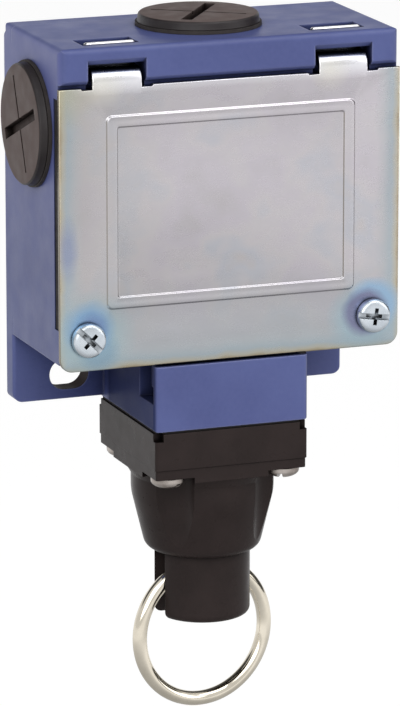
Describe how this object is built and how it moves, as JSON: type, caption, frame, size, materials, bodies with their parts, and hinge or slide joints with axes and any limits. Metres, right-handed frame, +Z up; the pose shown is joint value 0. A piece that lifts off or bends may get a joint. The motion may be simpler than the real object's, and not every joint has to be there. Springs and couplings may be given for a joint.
{
  "type": "rope pull switch",
  "caption": "Rope-operated safety switch: die-cast box with hinged steel cover, wall plate with slots, and a black head whose sprung rod carries a pull ring.",
  "frame": {"origin": "on the wall face, half way between the two fixing slots", "axes": "+X right as seen from the front, -Y out of the cover's front, +Z up; the pull is along -Z"},
  "size_m": [0.0747, 0.0371, 0.1449],
  "materials": {
    "body_paint": "satin",
    "cover_zinc": "satin",
    "screw_zinc": "satin",
    "seal_rubber": "matte",
    "plug_plastic": "matte",
    "head_plastic": "satin",
    "bronze": "satin",
    "steel": "satin",
    "spring_steel": "satin",
    "black_plastic": "matte",
    "nylon": "matte",
    "ring_nickel": "polished",
    "block_plastic": "matte",
    "front_plastic": "matte",
    "ivory_plastic": "matte",
    "contact_brass": "satin"
  },
  "bodies": {
    "root": {"body_casting": "body_paint", "wall_plate": "body_paint", "neck_casting": "body_paint", "side_entries": "body_paint", "cover_gasket": "seal_rubber", "top_plug": "plug_plastic", "top_plug_washer": "seal_rubber", "side_plug": "plug_plastic", "side_plug_washer": "seal_rubber", "head_gasket": "seal_rubber", "head_housing": "head_plastic", "head_screws": "screw_zinc", "guide_bush": "bronze", "rod_seal": "seal_rubber", "spring_seat": "steel", "return_spring": "spring_steel", "block_housing": "block_plastic", "block_front": "front_plastic", "block_screws": "screw_zinc", "block_washers": "steel", "plunger_spring": "spring_steel", "upper_contacts": "contact_brass", "lower_contacts": "contact_brass", "terminal_clamps": "steel", "terminal_screws": "screw_zinc", "earth_screw": "screw_zinc", "earth_washer": "steel"},
    "cover": {"cover_plate": "cover_zinc", "cover_screws": "screw_zinc", "screw_retainers": "nylon"},
    "rod": {"pull_rod": "steel", "push_cap": "black_plastic", "spring_collar": "steel", "collar_clip": "spring_steel"},
    "eye": {"swivel_eye": "steel", "eye_clip": "spring_steel"},
    "ring": {"pull_ring": "ring_nickel"},
    "plunger": {"contact_plunger": "ivory_plastic", "opening_bridge": "contact_brass", "closing_bridge": "contact_brass", "opening_spring": "spring_steel", "closing_spring": "spring_steel"}
  },
  "joints": [
    {"name": "cover_hinge", "type": "hinge", "parent": "root", "child": "cover", "pos_m": [0, -0.0327, 0.0712], "axis": [-1, 0, 0], "range_deg": [0, 85]},
    {"name": "rod_slide", "type": "slide", "parent": "root", "child": "rod", "axis": [0, 0, -1], "range_m": [0, 0.005], "stiffness_N_per_m": 2500, "springref_m": -0.003, "deforming": ["return_spring"]},
    {"name": "plunger_slide", "type": "slide", "parent": "root", "child": "plunger", "axis": [0, 0, -1], "range_m": [0, 0.005], "deforming": ["plunger_spring"]},
    {"name": "eye_turn", "type": "hinge", "parent": "rod", "child": "eye", "pos_m": [0, -0.0181, -0.0385], "axis": [0, 0, 1], "range_deg": [-15.8, 0.8]},
    {"name": "ring_swing", "type": "hinge", "parent": "eye", "child": "ring", "pos_m": [0, -0.0181, -0.0389], "axis": [0.1305, -0.9914, 0], "range_deg": [-15, 15]}
  ],
  "couplings": [
    {"joint": "plunger_slide", "follows": "rod_slide", "ratio": 1}
  ]
}
